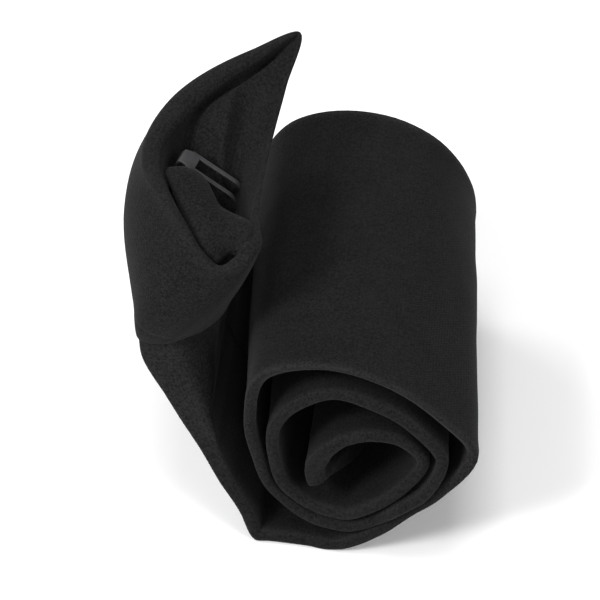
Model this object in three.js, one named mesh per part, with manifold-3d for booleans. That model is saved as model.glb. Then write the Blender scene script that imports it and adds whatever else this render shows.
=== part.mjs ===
import * as THREE from "three";
import { mergeVertices } from "three/addons/utils/BufferGeometryUtils.js";
import Module from "manifold-3d";

// A clip-on necktie, rolled up from its tip towards the knot and lying on the roll.
// X runs across the roll, Y along its axis with the near end at the lower Y, Z is up.

// Driving dimensions, millimetres
const clothWall = 2.1;        // the tie's folded cloth with its padding
const knotWall = 2.2;         // wall of the hollow knot
const seatGap = 0.3;          // free space between two pieces
const rollCentre = { x: 19, z: 22 };
const seamHeight = 42;        // where the blade meets the knot
const rimHeight = 68;         // about where the knot's mouth lies
const clipPlate = 0.9;        // thickness of the clip's metal

// The blade between the knot and the floor. x, z: its front face. wall: thickness there.
// level: 1 measures the wall level, 0 square to the path. inset: how much narrower its back
// face is on each side, where the cloth is gathered into the neck. near, far: side edges.
const neckRows = [
  { x: -26.2, z: seamHeight - seatGap, wall: 17.0, level: 1, inset: 9.2, near: 16.0, far: 59.5 },
  { x: -24.1, z: 36.8, wall: 14.4, level: 1, inset: 8.0, near: 14.6, far: 62.5 },
  { x: -19.9, z: 30.2, wall: 10.0, level: 1, inset: 5.5, near: 12.0, far: 65.5 },
  { x: -15.8, z: 25.0, wall: 5.8, level: 0.7, inset: 2.5, near: 9.2, far: 68.5 },
  { x: -11.2, z: 19.4, wall: 3.2, level: 0.2, inset: 0.8, near: 6.0, far: 72.0 },
  { x: -7.6, z: 13.6, wall: 2.3, level: 0, inset: 0.2, near: 3.4, far: 74.5 },
  { x: -3.9, z: 7.6, wall: clothWall, level: 0, inset: 0, near: 1.5, far: 76.5 },
];

// The roll: how far the front of the cloth lies from the roll's centre in each direction
// (degrees, counter-clockwise from +X), turn by turn from the outer one inwards, at the
// near end and at the far end.
const turnRows = [
  { direction: -132, near: [29.4, 18.0, 14.9, 10.5], far: [29.4, 20.5, 15.9, 11.5] },
  { direction: -127, near: [27.5, 17.9, 14.6, 10.5], far: [27.5, 20.0, 15.6, 11.4] },
  { direction: -115, near: [23.9, 17.7, 14.0, 10.6], far: [23.9, 18.6, 14.7, 11.1] },
  { direction: -102, near: [22.65, 17.2, 13.3, 10.3], far: [22.65, 17.8, 13.9, 10.6] },
  { direction: -90, near: [20.9, 16.8, 12.8, 9.9], far: [20.9, 17.1, 13.2, 10.2] },
  { direction: -68, near: [17.9, 15.3, 11.4, 8.8], far: [18.6, 15.7, 11.9, 9.2] },
  { direction: -42, near: [16.6, 14.1, 11.4, 8.7], far: [17.5, 14.6, 11.8, 9.0] },
  { direction: -14, near: [19.6, 16.9, 12.9, 9.8], far: [19.3, 16.4, 12.9, 9.8] },
  { direction: 16, near: [27.1, 22.8, 16.7, 11.6], far: [21.8, 18.6, 14.8, 11.0] },
  { direction: 44, near: [24.6, 19.8, 13.5], far: [24.0, 20.2, 13.8] },
  { direction: 70, near: [25.1, 19.1, 9.8], far: [26.2, 21.0, 11.0] },
  { direction: 100, near: [27.7, 20.3, 6.6], far: [28.8, 22.0, 7.6] },
  { direction: 128, near: [30.0, 19.4, 5.8], far: [30.6, 22.0, 6.4] },
  { direction: 152, near: [24.5, 18.2, 5.4], far: [28.6, 21.0, 6.0] },
  { direction: 180, near: [19.8, 16.4, 6.9], far: [25.6, 19.5, 7.6] },
  { direction: 206, near: [18.8, 16.0, 9.0], far: [23.4, 18.2, 9.8] },
];

// Side edges of the roll, by the angle turned since the bend on the floor
const edgeRows = [
  { turned: 0, near: 0, far: 78 },
  { turned: 60, near: 0, far: 78 },
  { turned: 150, near: 0, far: 79.5 },
  { turned: 240, near: 2, far: 81 },
  { turned: 330, near: 3, far: 81 },
  { turned: 420, near: 0.5, far: 80 },
  { turned: 460, near: -1.5, far: 79 },
  { turned: 520, near: -0.5, far: 79.5 },
  { turned: 600, near: 2, far: 81 },
  { turned: 700, near: 2.5, far: 81.5 },
  { turned: 780, near: 0, far: 80 },
  { turned: 900, near: 0.5, far: 80 },
  { turned: 1070, near: 2, far: 81 },
];
// The outer turn stands on two lines, at these turned angles, and is level and just clear of
// the surface between them
const footing = { from: 5, to: 30, height: 0.13 };
const tip = { corner: 1064, end: 1228, blunt: 1.5 };   // turned angles, half width at the point
const foldedEdge = { share: 0.45, most: 1.1 };         // how far a folded edge stands out
const blade = { stepsPerStation: 3, stepsAcross: 7 };

// The knot, in stations round it from the far ear by the front to the near nose and back.
// rim: top edge. seam: outline where the blade leaves it. bulge: swell half way up.
const knotRows = [
  { rim: [2.4, 76, 74], seam: [-16, 59], bulge: 1 },          // far ear
  { rim: [-7.5, 72.5, 72.6], seam: [-21, 60.5], bulge: 1.5 },
  { rim: [-17.2, 66, 71.2], seam: [-25.5, 59], bulge: 2 },
  { rim: [-23.6, 57, 70.6], seam: [-27.2, 54], bulge: 3 },
  { rim: [-27, 46.5, 69.4], seam: [-27.2, 46], bulge: 3.2 },  // front
  { rim: [-26.4, 36.5, 69.4], seam: [-27.2, 38], bulge: 3.6 },
  { rim: [-22.6, 28.5, 69.8], seam: [-27, 30], bulge: 3.4 },
  { rim: [-17.4, 21.5, 68.8], seam: [-26.8, 22], bulge: 3.2 },
  { rim: [-12.2, 16.6, 66], seam: [-25.4, 15.6], bulge: 3.2 },// near corner
  { rim: [-7.6, 14.2, 64], seam: [-20.5, 14.8], bulge: 3 },   // near end
  { rim: [-2.8, 14.8, 64.4], seam: [-16.6, 17.4], bulge: 3 }, // nose
  { rim: [-0.4, 19.6, 65.6], seam: [-12.4, 21.4], bulge: 2.4 },
  { rim: [-1.8, 29, 65.2], seam: [-9, 27], bulge: 1.2 },      // back
  { rim: [-1.8, 40, 65], seam: [-8.4, 35], bulge: 0.6 },
  { rim: [-1.2, 52, 66], seam: [-8.6, 43.5], bulge: 0.6 },
  { rim: [0.2, 64, 68.6], seam: [-10.6, 52.5], bulge: 0.8 },
];
const knot = { pointsRound: 48, levels: 8, rimRound: 0.7 };

// The tucked fold that closes the near part of the knot's mouth, in sections across X
const tuckRows = [
  { x: -25.6, near: 31.0, nearTop: 68.8, crest: 36.0, crestTop: 70.0 },
  { x: -21.0, near: 27.0, nearTop: 68.6, crest: 37.6, crestTop: 70.6 },
  { x: -17.0, near: 22.4, nearTop: 67.8, crest: 38.4, crestTop: 69.8 },
  { x: -13.2, near: 18.2, nearTop: 65.8, crest: 36.6, crestTop: 69.0 },
  { x: -9.6, near: 15.2, nearTop: 63.8, crest: 32.8, crestTop: 67.8 },
  { x: -6.0, near: 14.6, nearTop: 63.2, crest: 28.8, crestTop: 66.6 },
  { x: -1.4, near: 17.4, nearTop: 63.8, crest: 24.6, crestTop: 65.4 },
];
const tuck = { wall: 2.0, drop: 9, setBack: 1.5, crown: 0.8, stepsAcross: 12, stepsAlong: 5 };

// The clip: a stem on a sole inside the knot, and a sloping plate that ends in two tines
const clip = {
  base: [-19.2, 44.2, 67.0], pitch: 28, swing: -15,
  heelWidth: 4.3, headWidth: 5.6, headLength: 3.0,
  tineLength: 11.4, tineWidth: 1.4, tipRound: 0.6, tipReach: 0.4,
  stemWidth: 4.2, stemWall: 1.3, stemSetIn: 0.6, stemOverlap: 0.2,
  soleLength: 6.0, soleWidth: 6.2, soleSetIn: 2.4,
};

const clothBlack = new THREE.MeshStandardMaterial({ color: 0x1c1c1e, roughness: 0.85, metalness: 0 });
const tuckBlack = new THREE.MeshStandardMaterial({ color: 0x202022, roughness: 0.85, metalness: 0 });
const clipGrey = new THREE.MeshStandardMaterial({ color: 0x4a4b4e, roughness: 0.45, metalness: 0.6 });

const degrees = Math.PI / 180;
const mix = (a, b, t) => a + (b - a) * t;

const wasm = await Module();
wasm.setup();

function solidFrom(geometry) {
  geometry.deleteAttribute("normal");
  geometry.deleteAttribute("uv");
  const merged = mergeVertices(geometry, 1e-4);
  return new wasm.Manifold(new wasm.Mesh({
    numProp: 3,
    vertProperties: new Float32Array(merged.attributes.position.array),
    triVerts: new Uint32Array(merged.index.array),
  }));
}

function geometryFrom(solid) {
  const mesh = solid.getMesh();
  const geometry = new THREE.BufferGeometry();
  geometry.setAttribute("position", new THREE.Float32BufferAttribute(mesh.vertProperties, 3));
  geometry.setIndex(Array.from(mesh.triVerts));
  return geometry;
}

// Value of one column of a table at a place between its rows
function lookUp(rows, key, column, at) {
  if (at <= rows[0][key]) return rows[0][column];
  for (let i = 1; i < rows.length; i++) {
    if (at > rows[i][key]) continue;
    const t = (at - rows[i - 1][key]) / (rows[i][key] - rows[i - 1][key]);
    const smooth = t * t * (3 - 2 * t);
    return mix(rows[i - 1][column], rows[i][column], smooth);
  }
  return rows[rows.length - 1][column];
}

// A closed body from a grid of closed rings, capped by a fan at both ends
function bodyFromRings(rings) {
  const count = rings[0].length;
  const positions = rings.flat().flatMap((p) => [p.x, p.y, p.z]);
  const index = [];
  for (let i = 0; i + 1 < rings.length; i++) {
    for (let j = 0; j < count; j++) {
      const a = i * count + j;
      const b = i * count + (j + 1) % count;
      index.push(a, b, b + count, a, b + count, a + count);
    }
  }
  const lastRing = (rings.length - 1) * count;
  for (const [ring, first, flip] of [[rings[0], 0, true], [rings[rings.length - 1], lastRing, false]]) {
    const centre = ring.reduce((sum, p) => sum.add(p), new THREE.Vector3()).divideScalar(count);
    const middle = positions.length / 3;
    positions.push(centre.x, centre.y, centre.z);
    for (let j = 0; j < count; j++) {
      const a = first + j;
      const b = first + (j + 1) % count;
      index.push(...(flip ? [middle, b, a] : [middle, a, b]));
    }
  }
  const geometry = new THREE.BufferGeometry();
  geometry.setAttribute("position", new THREE.Float32BufferAttribute(positions, 3));
  geometry.setIndex(index);
  return geometry;
}

// Stations along the blade at its near and far side: front face, thickness and side edges
function bladeStations(side) {
  const stations = neckRows.map((row) => ({ ...row, edge: row[side], turned: 0 }));
  const start = turnRows[0].direction;
  for (let turn = 0; turn < turnRows[0].near.length; turn++) {
    for (const row of turnRows) {
      const distance = row[side][turn];
      if (distance === undefined) continue;
      const turned = row.direction - start + 360 * turn;
      stations.push({
        x: rollCentre.x + distance * Math.cos(row.direction * degrees),
        z: rollCentre.z + distance * Math.sin(row.direction * degrees),
        wall: clothWall, level: 0, inset: 0, turned,
        edge: lookUp(edgeRows, "turned", side, turned),
      });
    }
  }
  return stations;
}

// The front face, thickness and edge of one side of the blade, at fine steps along it
function bladeSide(side) {
  const stations = bladeStations(side);
  const face = new THREE.CatmullRomCurve3(
    stations.map((s) => new THREE.Vector3(s.x, 0, s.z)), false, "centripetal");
  const lastStation = stations.length - 1;
  const samples = lastStation * blade.stepsPerStation;
  return Array.from({ length: samples + 1 }, (_, i) => {
    const place = i / blade.stepsPerStation;
    const row = Math.min(Math.floor(place), lastStation - 1);
    const [from, to] = [stations[row], stations[row + 1]];
    const at = (column) => mix(from[column], to[column], place - row);
    const point = face.getPoint(i / samples);
    if (at("turned") > footing.from && at("turned") < footing.to) {
      point.z = Math.min(point.z, footing.height);
    }
    const tangent = face.getTangent(i / samples);
    const square = new THREE.Vector3(-tangent.z, 0, tangent.x);
    return {
      face: point,
      inward: square.lerp(new THREE.Vector3(1, 0, 0), at("level")).normalize(),
      wall: at("wall"), inset: at("inset"), edge: at("edge"),
      pointed: THREE.MathUtils.clamp((at("turned") - tip.corner) / (tip.end - tip.corner), 0, 1),
    };
  });
}

// One closed ring round the blade's cloth: front face, far edge, back, near edge
function bladeRing(near, far) {
  const middle = (near.edge + far.edge) / 2;
  const nearEdge = mix(near.edge, middle - tip.blunt, near.pointed);
  const farEdge = mix(far.edge, middle + tip.blunt, far.pointed);
  const edgeRound = Math.min(foldedEdge.share * near.wall, foldedEdge.most);
  const pointAt = (y, depth) => {
    const across = THREE.MathUtils.clamp((y - near.edge) / (far.edge - near.edge), 0, 1);
    const nearPoint = near.face.clone().addScaledVector(near.inward, depth);
    const farPoint = far.face.clone().addScaledVector(far.inward, depth);
    return nearPoint.lerp(farPoint, across).setY(y);
  };
  const ring = [];
  const steps = blade.stepsAcross;
  for (let k = 0; k <= steps; k++) {
    ring.push(pointAt(mix(nearEdge, farEdge, k / steps), 0));
  }
  ring.push(pointAt(farEdge - far.inset / 2 + edgeRound, far.wall / 2));
  for (let k = steps; k >= 0; k--) {
    ring.push(pointAt(mix(nearEdge + near.inset, farEdge - far.inset, k / steps), near.wall));
  }
  ring.push(pointAt(nearEdge + near.inset / 2 - edgeRound, near.wall / 2));
  return ring;
}

function bladeGeometry() {
  const nearSide = bladeSide("near");
  const farSide = bladeSide("far");
  return bodyFromRings(nearSide.map((near, i) => bladeRing(near, farSide[i])));
}

// Outline of the knot at a height between its seam (0) and its rim (1), pushed in by depth
function knotRing(height, depth, raised = 0) {
  const around = knot.pointsRound;
  const rim = new THREE.CatmullRomCurve3(knotRows.map((r) => new THREE.Vector3(...r.rim)), true);
  const seam = new THREE.CatmullRomCurve3(
    knotRows.map((r) => new THREE.Vector3(r.seam[0], r.seam[1], seamHeight)), true);
  const swell = (t) => {
    const place = t * knotRows.length;
    const row = Math.floor(place) % knotRows.length;
    return mix(knotRows[row].bulge, knotRows[(row + 1) % knotRows.length].bulge, place - Math.floor(place));
  };
  const at = (t) => seam.getPoint(t).lerp(rim.getPoint(t), height);
  const ring = [];
  for (let j = 0; j < around; j++) {
    const t = j / around;
    const before = at((t + 1 - 0.5 / around) % 1);
    const after = at((t + 0.5 / around) % 1);
    const outward = new THREE.Vector3(after.y - before.y, before.x - after.x, 0).normalize();
    const push = swell(t) * Math.sin(Math.PI * Math.min(1, height)) - depth;
    const point = at(t).addScaledVector(outward, push);
    point.z += raised;
    ring.push(point);
  }
  return ring;
}

// The hollow knot, its wall grown by a clearance on both sides where one is asked for
function knotGeometry(clearance = 0) {
  const floorHeight = knotWall / (rimHeight - seamHeight);
  const rings = [];
  for (let i = 0; i <= knot.levels; i++) {
    rings.push(knotRing(i / knot.levels, -clearance));
  }
  rings.push(knotRing(1, knotWall / 2, knot.rimRound + clearance));
  for (let i = knot.levels; i >= 0; i--) {
    rings.push(knotRing(mix(floorHeight, 1, i / knot.levels), knotWall + clearance));
  }
  return bodyFromRings(rings);
}

function tuckGeometry() {
  const nearEdges = new THREE.CatmullRomCurve3(
    tuckRows.map((r) => new THREE.Vector3(r.x, r.near, r.nearTop)));
  const crests = new THREE.CatmullRomCurve3(
    tuckRows.map((r) => new THREE.Vector3(r.x, r.crest, r.crestTop)));
  const rings = [];
  for (let i = tuck.stepsAcross; i >= 0; i--) {
    const near = nearEdges.getPoint(i / tuck.stepsAcross);
    const crest = crests.getPoint(i / tuck.stepsAcross);
    const top = [];
    for (let k = 0; k <= tuck.stepsAlong; k++) {
      const point = near.clone().lerp(crest, k / tuck.stepsAlong);
      point.z += tuck.crown * Math.sin(Math.PI * k / tuck.stepsAlong);
      top.push(point);
    }
    const turnedDown = crest.clone().add(new THREE.Vector3(0, tuck.setBack, -tuck.wall));
    const foot = turnedDown.clone().add(new THREE.Vector3(0, 0, -tuck.drop));
    const footBack = foot.clone().add(new THREE.Vector3(0, -tuck.wall, 0));
    const inside = crest.clone().add(new THREE.Vector3(0, tuck.setBack - tuck.wall, -2 * tuck.wall));
    const under = near.clone().add(new THREE.Vector3(0, tuck.wall, -tuck.wall));
    rings.push([...top, turnedDown, foot, footBack, inside, under]);
  }
  const fold = solidFrom(bodyFromRings(rings)).subtract(solidFrom(knotGeometry(seatGap)));
  const largest = fold.decompose().sort((a, b) => b.volume() - a.volume())[0];
  return geometryFrom(largest);
}

// The clip's fork lies along +X in its own plane, with the tines at the +X end
function forkShape() {
  const heel = clip.heelWidth / 2;
  const half = clip.headWidth / 2;
  const inner = half - clip.tineWidth;
  const shoulder = clip.headLength / 2;
  const tineMiddle = (half + inner) / 2;
  const tipStart = clip.headLength + clip.tineLength - clip.tipRound;
  const tipEnd = clip.headLength + clip.tineLength + clip.tipReach;
  const shape = new THREE.Shape();
  shape.moveTo(0, -heel);
  shape.bezierCurveTo(shoulder, -heel, shoulder, -half, clip.headLength, -half);
  shape.lineTo(tipStart, -half);
  shape.quadraticCurveTo(tipEnd, -tineMiddle, tipStart, -inner);
  shape.lineTo(clip.headLength + inner, -inner);
  shape.quadraticCurveTo(clip.headLength - inner, 0, clip.headLength + inner, inner);
  shape.lineTo(tipStart, inner);
  shape.quadraticCurveTo(tipEnd, tineMiddle, tipStart, half);
  shape.lineTo(clip.headLength, half);
  shape.bezierCurveTo(shoulder, half, shoulder, heel, 0, heel);
  shape.closePath();
  return shape;
}

function clipGeometry() {
  const fork = new THREE.ExtrudeGeometry(
    forkShape(), { depth: clipPlate, bevelEnabled: false, curveSegments: 4 });
  fork.translate(0, 0, -clipPlate / 2);
  fork.rotateY(clip.pitch * degrees);
  fork.rotateZ(clip.swing * degrees);
  fork.translate(...clip.base);
  const foot = seamHeight + knotWall + seatGap;
  const stemHeight = clip.base[2] - foot + clip.stemOverlap;
  const stem = new THREE.BoxGeometry(clip.stemWall, clip.stemWidth, stemHeight);
  stem.rotateZ(clip.swing * degrees);
  stem.translate(clip.base[0] + clip.stemSetIn, clip.base[1], foot + stemHeight / 2);
  const sole = new THREE.BoxGeometry(clip.soleLength, clip.soleWidth, clipPlate);
  sole.rotateZ(clip.swing * degrees);
  sole.translate(clip.base[0] + clip.soleSetIn, clip.base[1], foot + clipPlate / 2);
  return geometryFrom(solidFrom(fork).add(solidFrom(stem)).add(solidFrom(sole)));
}

const tie = new THREE.Group();
const pieces = [
  ["blade", bladeGeometry(), clothBlack],
  ["knot", knotGeometry(), clothBlack],
  ["knot_tuck", tuckGeometry(), tuckBlack],
  ["clip_fork", clipGeometry(), clipGrey],
];
for (const [name, geometry, material] of pieces) {
  geometry.computeVertexNormals();
  const mesh = new THREE.Mesh(geometry, material);
  mesh.name = name;
  tie.add(mesh);
}

// The origin is the middle of the footprint, on the surface that the tie lies on
const bounds = new THREE.Box3().setFromObject(tie);
tie.position.set(-(bounds.min.x + bounds.max.x) / 2, -(bounds.min.y + bounds.max.y) / 2, -bounds.min.z);

export default tie;
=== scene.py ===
import math
import bmesh
import bpy
import numpy as np
from mathutils import Matrix, Vector, noise


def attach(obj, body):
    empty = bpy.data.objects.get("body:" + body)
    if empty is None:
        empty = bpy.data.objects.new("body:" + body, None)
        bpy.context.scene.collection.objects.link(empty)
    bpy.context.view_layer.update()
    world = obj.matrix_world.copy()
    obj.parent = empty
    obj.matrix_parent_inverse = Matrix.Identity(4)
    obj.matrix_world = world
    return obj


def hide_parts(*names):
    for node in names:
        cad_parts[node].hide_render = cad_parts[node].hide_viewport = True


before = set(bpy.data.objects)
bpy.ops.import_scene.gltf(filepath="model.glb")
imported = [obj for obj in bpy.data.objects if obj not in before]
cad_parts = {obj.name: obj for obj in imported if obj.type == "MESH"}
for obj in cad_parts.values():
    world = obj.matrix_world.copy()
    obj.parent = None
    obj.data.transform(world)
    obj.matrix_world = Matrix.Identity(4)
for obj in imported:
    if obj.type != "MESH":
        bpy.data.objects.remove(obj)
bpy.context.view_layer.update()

# The tables below are in millimetres and count from the tie's drawing origin. In the frame,
# which is in metres, that origin lies here.
mm = 0.001
drawingOrigin = np.array([-7.24, -40.11, 0.155])

tieSizes = {
    "wall": 2.1,            # folded cloth with its padding
    "rollX": 19.0,          # the roll's centre
    "rollZ": 22.0,
}

# The camera looks as the photograph does, in a square picture
cameraView = {
    "aim": (4.76, -2.11, 30.0),
    "azimuth": 5.0,
    "elevation": 42.0,
    "distance": 900.0,
    "slideRight": -6.29,
    "slideUp": 3.71,
    "focalLength": 259.2,
    "sensorWidth": 36.0,
}


def makeCamera():
    turn = math.radians(cameraView["azimuth"])
    lift = math.radians(cameraView["elevation"])
    towards = Vector((math.sin(turn) * math.cos(lift), -math.cos(turn) * math.cos(lift), math.sin(lift)))
    right = Vector((math.cos(turn), math.sin(turn), 0.0))
    up = towards.cross(right)
    place = (Vector(cameraView["aim"]) + towards * cameraView["distance"]
             + right * cameraView["slideRight"] + up * cameraView["slideUp"])
    data = bpy.data.cameras.new("camera")
    data.lens = cameraView["focalLength"]
    data.sensor_width = cameraView["sensorWidth"]
    camera = bpy.data.objects.new("camera", data)
    turned = Matrix((right, up, towards)).transposed().to_4x4()
    camera.matrix_world = Matrix.Translation(place * mm) @ turned
    bpy.context.scene.collection.objects.link(camera)
    bpy.context.scene.camera = camera


studio = {
    "floorSize": 6.0,
    "floorColour": (0.93, 0.93, 0.93, 1.0),
    "floorRoughness": 0.9,
    "skyStrength": 0.26,
    # each light: place and side in metres, power in watts
    "lights": {
        "leftSoftbox": {"place": (-0.8, -0.7, 0.9), "side": 0.4, "power": 15.2},
        "rightSoftbox": {"place": (0.9, -0.7, 0.8), "side": 0.6, "power": 6.5},
        "topSoftbox": {"place": (0.0, 0.0, 1.3), "side": 0.6, "power": 7.5},
        "frontSoftbox": {"place": (0.05, -1.2, 0.7), "side": 0.5, "power": 3.2},
        "backSoftbox": {"place": (-0.8, 0.7, 0.9), "side": 0.5, "power": 6.0},
    },
    "lightTarget": (0.0, 0.0, 0.03),
}


def makeStudio():
    half = studio["floorSize"] / 2
    mesh = bpy.data.meshes.new("floor")
    corners = [(-half, -half, 0), (half, -half, 0), (half, half, 0), (-half, half, 0)]
    mesh.from_pydata(corners, [], [(0, 1, 2, 3)])
    floor = bpy.data.objects.new("floor", mesh)
    bpy.context.scene.collection.objects.link(floor)
    paper = bpy.data.materials.new("pale floor")
    paper.use_nodes = True
    shader = paper.node_tree.nodes["Principled BSDF"]
    shader.inputs["Base Color"].default_value = studio["floorColour"]
    shader.inputs["Roughness"].default_value = studio["floorRoughness"]
    mesh.materials.append(paper)
    for name, light in studio["lights"].items():
        data = bpy.data.lights.new(name, "AREA")
        data.size = light["side"]
        data.energy = light["power"]
        lamp = bpy.data.objects.new(name, data)
        lamp.location = light["place"]
        aim = Vector(studio["lightTarget"]) - lamp.location
        lamp.rotation_euler = aim.to_track_quat("-Z", "Y").to_euler()
        bpy.context.scene.collection.objects.link(lamp)
    world = bpy.data.worlds.new("studio")
    world.use_nodes = True
    world.node_tree.nodes["Background"].inputs["Color"].default_value = (1, 1, 1, 1)
    world.node_tree.nodes["Background"].inputs["Strength"].default_value = studio["skyStrength"]
    bpy.context.scene.world = world
    bpy.context.scene.view_settings.view_transform = "Standard"


makeCamera()
makeStudio()
print("camera, floor and lights are in place")


# Node helpers for the finishes
def addNode(tree, kind, settings=(), inputs=()):
    node = tree.nodes.new(kind)
    for name, value in dict(settings).items():
        setattr(node, name, value)
    for name, value in dict(inputs).items():
        if isinstance(value, bpy.types.NodeSocket):
            tree.links.new(value, node.inputs[name])
        else:
            node.inputs[name].default_value = value
    return node


def calc(tree, operation, a, b=0.0, c=0.0):
    inputs = {0: a, 1: b}
    if operation == "MULTIPLY_ADD":
        inputs[2] = c
    return addNode(tree, "ShaderNodeMath", {"operation": operation}, inputs).outputs[0]


cloth = {
    "threadPitch": 0.74,          # millimetres from thread to thread
    "threadWander": 0.22,         # how far threads stray, as a share of the pitch
    "threadHeight": 0.07,         # millimetres
    "fibreHeight": 0.5,           # as a share of the threads' height
    "fibreStrength": 0.6,
    "ribShare": 0.35,             # how strongly ribs across its length show in the plain weave
    "weaveScale": 0.37,           # brings the weave into the range from 0 to 1
    "darkColour": (0.0046, 0.0046, 0.0048, 1.0),
    "lightColour": (0.0126, 0.0126, 0.0129, 1.0),
    # the colour along the folds: wear together with a painted highlight where the folded edges catch the
    # light
    "wornHighlightColour": (0.0200, 0.0200, 0.0205, 1.0),
    "roughness": 0.92,
    "gloss": 0.05,
    "sheen": 0.03,
    "sheenRoughness": 0.45,
    # noise cells in a metre: how threads stray, single fibres, and slow mottling
    "wanderCells": 420.0,
    "fibreCells": 1900.0,
    "mottleCells": 140.0,
    # how much the weave, the fibres and the mottling lighten it, and what is taken off again
    "weaveTone": 0.45,
    "fibreTone": 2.7,
    "mottleTone": 0.5,
    "toneShift": 1.35,
    "wornHighlightTone": 0.35,             # added to that where the cloth is worn and carries the painted highlight along its folds
}


def makeBlackCloth():
    # plain weave that follows the cloth's own map, lighter along its folds from wear and a painted
    # highlight
    material = bpy.data.materials.new("black cloth")
    material.use_nodes = True
    tree = material.node_tree
    shader = tree.nodes["Principled BSDF"]
    shader.inputs["Roughness"].default_value = cloth["roughness"]
    shader.inputs["Specular IOR Level"].default_value = cloth["gloss"]
    shader.inputs["Sheen Weight"].default_value = cloth["sheen"]
    shader.inputs["Sheen Roughness"].default_value = cloth["sheenRoughness"]
    across = addNode(tree, "ShaderNodeUVMap", {"uv_map": "cloth"}).outputs["UV"]
    place = addNode(tree, "ShaderNodeTexCoord").outputs["Object"]
    wander = addNode(tree, "ShaderNodeTexNoise", {}, {
        "Vector": place, "Scale": cloth["wanderCells"], "Detail": 2.0})
    split = addNode(tree, "ShaderNodeSeparateXYZ", {}, {0: across})
    perMetre = 2 * math.pi / (cloth["threadPitch"] * mm)
    stray = calc(tree, "MULTIPLY", wander.outputs["Fac"], cloth["threadWander"] * 4 * math.pi)
    warp = calc(tree, "SINE", calc(tree, "MULTIPLY_ADD", split.outputs["X"], perMetre, stray))
    weft = calc(tree, "SINE", calc(tree, "MULTIPLY_ADD", split.outputs["Y"], perMetre, stray))
    crossing = calc(tree, "MULTIPLY", warp, weft)
    ribs = calc(tree, "MULTIPLY_ADD", weft, cloth["ribShare"], crossing)
    weave = calc(tree, "MULTIPLY_ADD", ribs, cloth["weaveScale"], 0.5)
    fuzz = addNode(tree, "ShaderNodeTexNoise", {}, {
        "Vector": place, "Scale": cloth["fibreCells"], "Detail": 3.0})
    mottle = addNode(tree, "ShaderNodeTexNoise", {}, {
        "Vector": place, "Scale": cloth["mottleCells"], "Detail": 4.0})
    tone = calc(tree, "MULTIPLY", weave, cloth["weaveTone"])
    tone = calc(tree, "MULTIPLY_ADD", fuzz.outputs["Fac"], cloth["fibreTone"], tone)
    tone = calc(tree, "SUBTRACT", tone, cloth["toneShift"])
    tone = calc(tree, "MULTIPLY_ADD", mottle.outputs["Fac"], cloth["mottleTone"], tone)
    base = addNode(tree, "ShaderNodeMix", {"data_type": "RGBA", "clamp_factor": True},
                   {0: tone, 6: cloth["darkColour"], 7: cloth["lightColour"]})
    # wear and painted highlight: the per-point attribute mixes the folds towards the lighter fold colour
    wearAndHighlight = addNode(tree, "ShaderNodeAttribute", {"attribute_name": "wearAndHighlight"})
    wornAndHighlighted = calc(tree, "MULTIPLY", wearAndHighlight.outputs["Fac"], calc(tree, "ADD", tone, cloth["wornHighlightTone"]))
    colour = addNode(tree, "ShaderNodeMix", {"data_type": "RGBA", "clamp_factor": True},
                     {0: wornAndHighlighted, 6: base.outputs[2], 7: cloth["wornHighlightColour"]})
    tree.links.new(colour.outputs[2], shader.inputs["Base Color"])
    threads = addNode(tree, "ShaderNodeBump", {}, {
        "Height": weave, "Strength": 1.0, "Distance": cloth["threadHeight"] * mm})
    fibres = addNode(tree, "ShaderNodeBump", {}, {
        "Height": fuzz.outputs["Fac"], "Strength": cloth["fibreStrength"],
        "Distance": cloth["fibreHeight"] * cloth["threadHeight"] * mm,
        "Normal": threads.outputs["Normal"]})
    tree.links.new(fibres.outputs["Normal"], shader.inputs["Normal"])
    return material


metal = {
    "baseColour": (0.030, 0.030, 0.032, 1.0),
    "rubbedColour": (0.052, 0.052, 0.055, 1.0),
    "metallic": 0.35,
    "roughness": 0.50,
    "roughnessSpread": 0.2,
    "grainCells": 900.0,          # noise cells in a metre
    "grainHeight": 0.02,          # millimetres
    "grainStrength": 0.3,
    "patchCells": 260.0,
    "patchContrast": 2.4,
    "patchShift": -0.75,
}


def makeClipMetal():
    # dark grey lacquered steel with a fine grain, rubbed lighter in places
    material = bpy.data.materials.new("clip metal")
    material.use_nodes = True
    tree = material.node_tree
    shader = tree.nodes["Principled BSDF"]
    shader.inputs["Metallic"].default_value = metal["metallic"]
    place = addNode(tree, "ShaderNodeTexCoord").outputs["Object"]
    grain = addNode(tree, "ShaderNodeTexNoise", {}, {
        "Vector": place, "Scale": metal["grainCells"], "Detail": 3.0})
    patches = addNode(tree, "ShaderNodeTexNoise", {}, {
        "Vector": place, "Scale": metal["patchCells"], "Detail": 2.0})
    rubbed = calc(tree, "MULTIPLY_ADD", patches.outputs["Fac"], metal["patchContrast"], metal["patchShift"])
    colour = addNode(tree, "ShaderNodeMix", {"data_type": "RGBA", "clamp_factor": True},
                     {0: rubbed, 6: metal["baseColour"], 7: metal["rubbedColour"]})
    tree.links.new(colour.outputs[2], shader.inputs["Base Color"])
    smoothest = metal["roughness"] - metal["roughnessSpread"] / 2
    rough = calc(tree, "MULTIPLY_ADD", grain.outputs["Fac"], metal["roughnessSpread"], smoothest)
    tree.links.new(rough, shader.inputs["Roughness"])
    bump = addNode(tree, "ShaderNodeBump", {}, {
        "Height": grain.outputs["Fac"], "Strength": metal["grainStrength"],
        "Distance": metal["grainHeight"] * mm})
    tree.links.new(bump.outputs["Normal"], shader.inputs["Normal"])
    return material


blackCloth = makeBlackCloth()
clipMetal = makeClipMetal()
print("finishes are made")


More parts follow.
